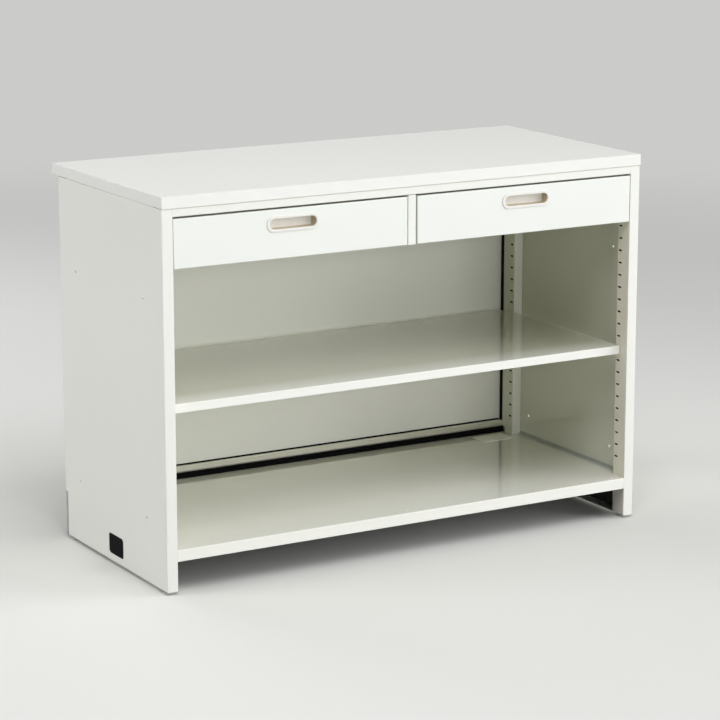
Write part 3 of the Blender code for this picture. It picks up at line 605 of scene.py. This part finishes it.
def add_cup_handle(side):
    """Moulded cup pull: a thin round-ended lip and a cup that narrows to a square-ended floor."""
    node = f"{side}_drawer_handle"
    low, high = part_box(node)
    x, z = (low.x + high.x) / 2, (low.z + high.z) / 2
    length, height = high.x - low.x, high.z - low.z
    face, rear = low.y, high.y
    seat, floor = face + LIP_PROUD, rear - CUP_WALL

    def round_ended(long, tall, y):
        return rounded(x, z, long, tall, ROUND_SHARE * tall / 2, y)

    def cup(share, shrink, y):
        """Outline part of the way from the round-ended mouth to the square-ended floor."""
        long = MOUTH_LENGTH - 2 * (share * CUP_END_SLOPE + shrink)
        tall = MOUTH_HEIGHT - 2 * (share * CUP_SIDE_SLOPE + shrink)
        radius = (1 - share) * ROUND_SHARE * tall / 2 + share * CUP_CORNER
        return rounded(x, z, long, tall, radius, y)

    loops = [cup(1, -CUP_WALL, rear), cup(0, -CUP_WALL, seat), round_ended(length, height, seat)]
    for sine, cosine in quarter():
        shrink = 2 * LIP_EDGE * (1 - cosine)
        loops.append(round_ended(length - shrink, height - shrink, face + LIP_EDGE * (1 - sine)))
    for sine, cosine in quarter():
        loops.append(cup(0, MOUTH_EDGE * (sine - 1), face + MOUTH_EDGE * (1 - cosine)))
    wall_end = floor - CUP_FILLET
    for step in range(1, CUP_STEPS):
        share = step / CUP_STEPS
        loops.append(cup(share, 0, face + MOUTH_EDGE + share * (wall_end - face - MOUTH_EDGE)))
    for sine, cosine in quarter():
        loops.append(cup(1, CUP_FILLET * (1 - cosine), wall_end + CUP_FILLET * sine))
    bm = bmesh.new()
    loft(bm, loops)
    add_mesh_piece(f"{side}_drawer_cup_handle", bm, "beige_plastic", f"{side}_drawer", [node])


def add_foot(corner):
    """Levelling foot with a fluted, soft-edged pad, a cone to its shoulder and a stud."""
    node = f"{corner}_foot"
    low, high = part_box(node)
    nut_low, nut_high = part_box(f"{corner}_foot_nut")
    x, y = (low.x + high.x) / 2, (low.y + high.y) / 2
    radius = (high.x - low.x) / 2
    shoulder = nut_low.z - 3 * SHEET / 2
    pad = shoulder * PAD_SHARE
    stud = (nut_high.x - nut_low.x) * STUD_SHARE

    def fluted(reach, z, depth=FLUTE_DEPTH):
        count = FOOT_FLUTES * FLUTE_STEPS
        points = []
        for step in range(count):
            turn = 2 * math.pi * step / count
            wave = depth * (0.5 - 0.5 * math.cos(FOOT_FLUTES * turn))
            points.append((x + (reach - wave) * math.cos(turn), y + (reach - wave) * math.sin(turn), z))
        return points

    loops = []
    for sine, cosine in quarter():
        loops.append(fluted(radius - FOOT_EDGE * (1 - sine), low.z + FOOT_EDGE * (1 - cosine)))
    for sine, cosine in quarter():
        loops.append(fluted(radius - FOOT_EDGE * (1 - cosine), pad - FOOT_EDGE * (1 - sine)))
    loops += [fluted(radius * CONE_SHARE, shoulder, 0),
              fluted(stud, shoulder, 0), fluted(stud, high.z, 0)]
    bm = bmesh.new()
    loft(bm, loops)
    add_mesh_piece(f"{corner}_levelling_foot", bm, "nylon", node, [node], FOOT_FINISH)


def add_roller(node):
    """Nylon runner roller with eased edges and a dished face round its hub."""
    low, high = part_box(node)
    y, z = (low.y + high.y) / 2, (low.z + high.z) / 2
    radius = (high.z - low.z) / 2

    def ring(reach, x):
        turns = [2 * math.pi * step / ROLLER_SIDES for step in range(ROLLER_SIDES)]
        return [(x, y + reach * math.cos(turn), z + reach * math.sin(turn)) for turn in turns]

    loops = []
    for face, inward in ((low.x, 1), (high.x, -1)):
        side = [ring(AXLE_CLEAR / 2, face), ring(ROLLER_HUB / 2, face),
                ring(ROLLER_HUB / 2 + ROLLER_DISH, face + inward * ROLLER_DISH),
                ring(radius - ROLLER_EDGE - 2 * ROLLER_DISH, face + inward * ROLLER_DISH),
                ring(radius - ROLLER_EDGE - ROLLER_DISH, face)]
        side += [ring(radius - ROLLER_EDGE * (1 - sine), face + inward * ROLLER_EDGE * (1 - cosine))
                 for sine, cosine in quarter()]
        loops += side if inward > 0 else side[::-1]
    bm = bmesh.new()
    loft(bm, loops, ring=True)
    add_mesh_piece(f"{node}_wheel", bm, "nylon", node, [node])


def add_screw(name, seat, axis, body, slot):
    """Low domed screw head with a cross recess, standing on seat along axis."""
    turn_to_axis = Vector((0, 0, 1)).rotation_difference(Vector(axis))

    def disc(radius, rise):
        turns = [2 * math.pi * step / SCREW_SIDES for step in range(SCREW_SIDES)]
        return [Vector((radius * math.cos(turn), radius * math.sin(turn), rise)) for turn in turns]

    def cross(size, rise):
        """Cross outline: along each turn, the farther of its two bars' edges."""
        points = []
        for step in range(SCREW_SIDES):
            turn = 2 * math.pi * (step + 0.5) / SCREW_SIDES
            c, s = abs(math.cos(turn)), abs(math.sin(turn))
            long, wide = size * SCREW_CROSS / 2, size * SCREW_CROSS_WIDTH / 2
            reach = max(min(long / c, wide / s), min(long / s, wide / c))
            points.append(Vector((reach * math.cos(turn), reach * math.sin(turn), rise)))
        return points

    radius = SCREW_HEAD / 2
    loops = [disc(radius, 0), disc(radius, SCREW_RISE / 3)]
    loops += [disc(radius * (SCREW_CROWN + (1 - SCREW_CROWN) * cosine), SCREW_RISE * (1 + 2 * sine) / 3)
              for sine, cosine in quarter()[1:]]
    loops += [cross(1, SCREW_RISE), cross(0.8, SCREW_RISE - SCREW_CROSS_DEPTH)]
    bm = bmesh.new()
    loft(bm, [[turn_to_axis @ point + Vector(seat) for point in points] for points in loops])
    add_mesh_piece(name, bm, slot, body)


def add_shelf_screws():
    """Screws along the front of the bottom shelf."""
    low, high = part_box("bottom_shelf")
    for count, x in enumerate(SHELF_SCREWS, 1):
        seat = (x, low.y + SHELF_SCREW_SETBACK, high.z + SEAT_GAP)
        add_screw(f"bottom_shelf_screw_{count}", seat, (0, 0, 1), "carcass", "white_paint")


def add_box_screws(side):
    """Screws that hold a drawer's front, on the inside of its box."""
    low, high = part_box(f"{side}_drawer_box")
    middle = (low.z + high.z) / 2
    places = (("left", low.x + BOX_SCREW_INSET), ("right", high.x - BOX_SCREW_INSET))
    for end, x in places:
        seat = (x, low.y + SHEET + SEAT_GAP, middle)
        add_screw(f"{side}_drawer_{end}_front_screw", seat, (0, 1, 0), f"{side}_drawer", "zinc")


def add_strip(name, low, high, slot, finish=None):
    """Bar along X with eased long edges, on the carcass."""
    section = []
    for corner, (side_y, side_z) in enumerate(((1, 1), (-1, 1), (-1, -1), (1, -1))):
        y = (high.y if side_y > 0 else low.y) - side_y * STRIP_EDGE
        z = (high.z if side_z > 0 else low.z) - side_z * STRIP_EDGE
        for step in range(FILLET_STEPS + 1):
            turn = math.pi / 2 * (corner + step / FILLET_STEPS)
            section.append((y + STRIP_EDGE * math.cos(turn), z + STRIP_EDGE * math.sin(turn)))
    bm = bmesh.new()
    loft(bm, [[(x, y, z) for y, z in section] for x in (low.x, high.x)])
    add_mesh_piece(name, bm, slot, "carcass", finish=finish)


def add_fascia_strips():
    """Black lip on the bottom seal that also paints the shade of the gap, a cap on the fascia's rail
    made bright as a painted highlight, and a black bead above it as a painted shadow line.
    """
    seal_low, seal_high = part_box("rear_seal_bottom")
    rail_low, rail_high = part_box("fascia_bottom_rail")
    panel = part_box("rear_fascia")[1].y - SHEET
    add_strip("rear_seal_shade_lip", Vector((seal_low.x, seal_low.y, seal_high.z + SEAT_GAP)),
              seal_high + Vector((0, 0, SHADE_LIP_HEIGHT)), "foam")
    cap_top = rail_high.z + RAIL_CAP_HEIGHT
    add_strip("fascia_rail_cap", Vector((seal_low.x, rail_low.y, rail_high.z + SEAT_GAP)),
              Vector((seal_high.x, rail_high.y, cap_top)), "white_paint", RAIL)
    bead_top = cap_top + SHADOW_BEAD_HEIGHT / 2
    bead_rear = panel - SEAT_GAP
    add_strip("fascia_shadow_bead",
              Vector((seal_low.x, bead_rear - SHADOW_BEAD_DEPTH, bead_top - SHADOW_BEAD_HEIGHT)),
              Vector((seal_high.x, bead_rear, bead_top)), "foam")


def add_cover_plate():
    """Matt plate with round corners over the wiring hole in the bottom shelf."""
    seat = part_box("bottom_shelf")[1].z + SEAT_GAP
    x, y = ((low + high) / 2 for low, high in zip(COVER_LOW, COVER_HIGH))
    length, width = (high - low for low, high in zip(COVER_LOW, COVER_HIGH))

    def outline(shrink, z):
        points = rounded(x, y, length - 2 * shrink, width - 2 * shrink, COVER_CORNER - shrink, z)
        return [(px, py, pz) for px, pz, py in points]

    loops = [outline(0, seat)]
    top = seat + COVER_THICKNESS
    for sine, cosine in quarter():
        loops.append(outline(COVER_EDGE * (1 - cosine), top - COVER_EDGE * (1 - sine)))
    bm = bmesh.new()
    loft(bm, loops)
    add_mesh_piece("wiring_cover_plate", bm, "nylon", "carcass", finish=COVER)


def add_joint_bead(side, hand):
    """Grey concave bead along the joint of the bottom shelf and a side panel."""
    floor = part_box("bottom_shelf")[1].z + SEAT_GAP
    skin = hand * (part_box("right_side_panel")[1].x - SHEET - SEAT_GAP)
    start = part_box("right_front_post")[1].y + SEAT_GAP
    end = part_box("right_rear_post")[0].y - SEAT_GAP
    section = [(skin, floor)]
    for sine, cosine in quarter(BEAD_STEPS):
        section.append((skin - hand * BEAD_SIZE * (1 - sine), floor + BEAD_SIZE * (1 - cosine)))
    bm = bmesh.new()
    loft(bm, [[(x, y, z) for x, z in section] for y in (start, end)])
    add_mesh_piece(f"{side}_shelf_joint_bead", bm, "nylon", "carcass", finish=JOINT_BEAD_PLASTIC)


def add_cable_flap():
    """Black rubber flap behind the cable hole, slit into strips that let cables through; its near-black
    also paints the shade inside the hole.
    """
    openings = {opening["name"]: opening for opening in frame["record"]["physics"]["openings"]}
    low, high = (Vector(corner) for corner in openings["cable_hole"]["box_m"])
    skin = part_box("left_side_panel")[0].x + SHEET
    start, end = low.y - 2 * FLAP_MARGIN, high.y + 2 * FLAP_MARGIN
    bottom, top = low.z - 2 * FLAP_MARGIN, high.z + 2 * FLAP_MARGIN
    pitch = (end - start + FLAP_GAP) / FLAP_STRIPS
    bm = bmesh.new()
    for strip in range(FLAP_STRIPS):
        near = start + strip * pitch
        far = near + pitch - FLAP_GAP
        section = [(skin + FLAP_ROUND, near), (skin + FLAP_THICKNESS - FLAP_ROUND, near),
                   (skin + FLAP_THICKNESS, near + FLAP_ROUND), (skin + FLAP_THICKNESS, far - FLAP_ROUND),
                   (skin + FLAP_THICKNESS - FLAP_ROUND, far), (skin + FLAP_ROUND, far),
                   (skin + SEAT_GAP, far - FLAP_ROUND), (skin + SEAT_GAP, near + FLAP_ROUND)]
        loft(bm, [[(x, y, z) for x, y in section] for z in (bottom, top)])
    add_mesh_piece("cable_hole_flap", bm, "foam", "carcass", finish=RUBBER)


# Studio and camera

def seen_ray(tree):
    """One for rays by which the background is seen: direct, in a reflection or through glass."""
    path = add_node(tree, "ShaderNodeLightPath").outputs
    mirrored = maths(tree, "MAXIMUM", path["Is Glossy Ray"], path["Is Transmission Ray"])
    return maths(tree, "MAXIMUM", path["Is Camera Ray"], mirrored)


def floor_finish():
    """Matt pale floor that keeps the shadow; far off, what is seen of it is an even pale tone."""
    material, tree, shader = new_material("floor_finish")
    place = object_coordinates(tree)
    seen = seen_ray(tree)
    tree.links.new(mixed_colour(tree, seen, FLOOR_COLOUR, FLOOR_SEEN), shader.inputs["Base Color"])
    shader.inputs["Roughness"].default_value = 0.9
    shader.inputs["Specular IOR Level"].default_value = 0.1
    distance = add_node(tree, "ShaderNodeVectorMath", operation="LENGTH")
    tree.links.new(place, distance.inputs[0])
    fade = add_node(tree, "ShaderNodeMapRange", {"From Min": FLOOR_FADE[0], "From Max": FLOOR_FADE[1]},
                    interpolation_type="SMOOTHSTEP")
    tree.links.new(distance.outputs["Value"], fade.inputs["Value"])
    far = add_node(tree, "ShaderNodeEmission", {"Color": (*FAR_LOOK, 1.0)})
    mix = add_node(tree, "ShaderNodeMixShader")
    tree.links.new(maths(tree, "MULTIPLY", fade.outputs["Result"], seen), mix.inputs["Fac"])
    tree.links.new(shader.outputs["BSDF"], mix.inputs[1])
    tree.links.new(far.outputs["Emission"], mix.inputs[2])
    tree.links.new(mix.outputs["Shader"], tree.nodes["Material Output"].inputs["Surface"])
    return material


def add_floor():
    mesh = bpy.data.meshes.new("floor")
    bm = bmesh.new()
    bmesh.ops.create_circle(bm, cap_ends=True, segments=96, radius=FLOOR_RADIUS)
    bm.to_mesh(mesh)
    bm.free()
    floor = bpy.data.objects.new("floor", mesh)
    bpy.context.scene.collection.objects.link(floor)
    mesh.materials.append(floor_finish())


def set_world():
    """Even studio light; the camera and reflections see the floor's far tone."""
    world = bpy.data.worlds.new("studio")
    bpy.context.scene.world = world
    world.use_nodes = True
    tree = world.node_tree
    light = tinted(LIGHT_TINT, WORLD_LIGHT)
    seen = mixed_colour(tree, seen_ray(tree), light, FAR_LOOK)
    tree.links.new(seen, tree.nodes["Background"].inputs["Color"])


def add_lamps():
    for name, lamp in LAMPS.items():
        data = bpy.data.lights.new(name, "AREA")
        data.shape = "RECTANGLE"
        data.size, data.size_y = lamp["size"]
        data.energy = lamp["power"]
        data.color = LIGHT_TINT
        light = bpy.data.objects.new(name, data)
        light.location = lamp["place"]
        light.visible_camera = False
        light.visible_glossy = False
        light.rotation_euler = (Vector(LAMP_AIM) - light.location).to_track_quat("-Z", "Y").to_euler()
        bpy.context.scene.collection.objects.link(light)


def add_camera():
    data = bpy.data.cameras.new("camera")
    data.lens = CAMERA_LENS
    data.sensor_width = SENSOR_WIDTH
    camera = bpy.data.objects.new("camera", data)
    camera.location = CAMERA_PLACE
    camera.rotation_euler = (math.radians(90 - CAMERA_PITCH), 0, math.radians(-CAMERA_YAW))
    bpy.context.scene.collection.objects.link(camera)
    bpy.context.scene.camera = camera


for leftover in list(bpy.data.objects):
    if leftover.type in ("LIGHT", "CAMERA"):
        bpy.data.objects.remove(leftover, do_unlink=True)
finish_nodes()
for drawer_side in ("left", "right"):
    add_cup_handle(drawer_side)
    add_box_screws(drawer_side)
    add_joint_bead(drawer_side, -1 if drawer_side == "left" else 1)
for node_name in list(frame["nodes"]):
    if node_name.endswith("_roller"):
        add_roller(node_name)
    elif node_name.endswith("_foot"):
        add_foot(node_name.removesuffix("_foot"))
add_shelf_screws()
add_cable_flap()
add_fascia_strips()
add_cover_plate()
add_floor()
set_world()
add_lamps()
add_camera()
bpy.context.scene.view_settings.view_transform = "Standard"
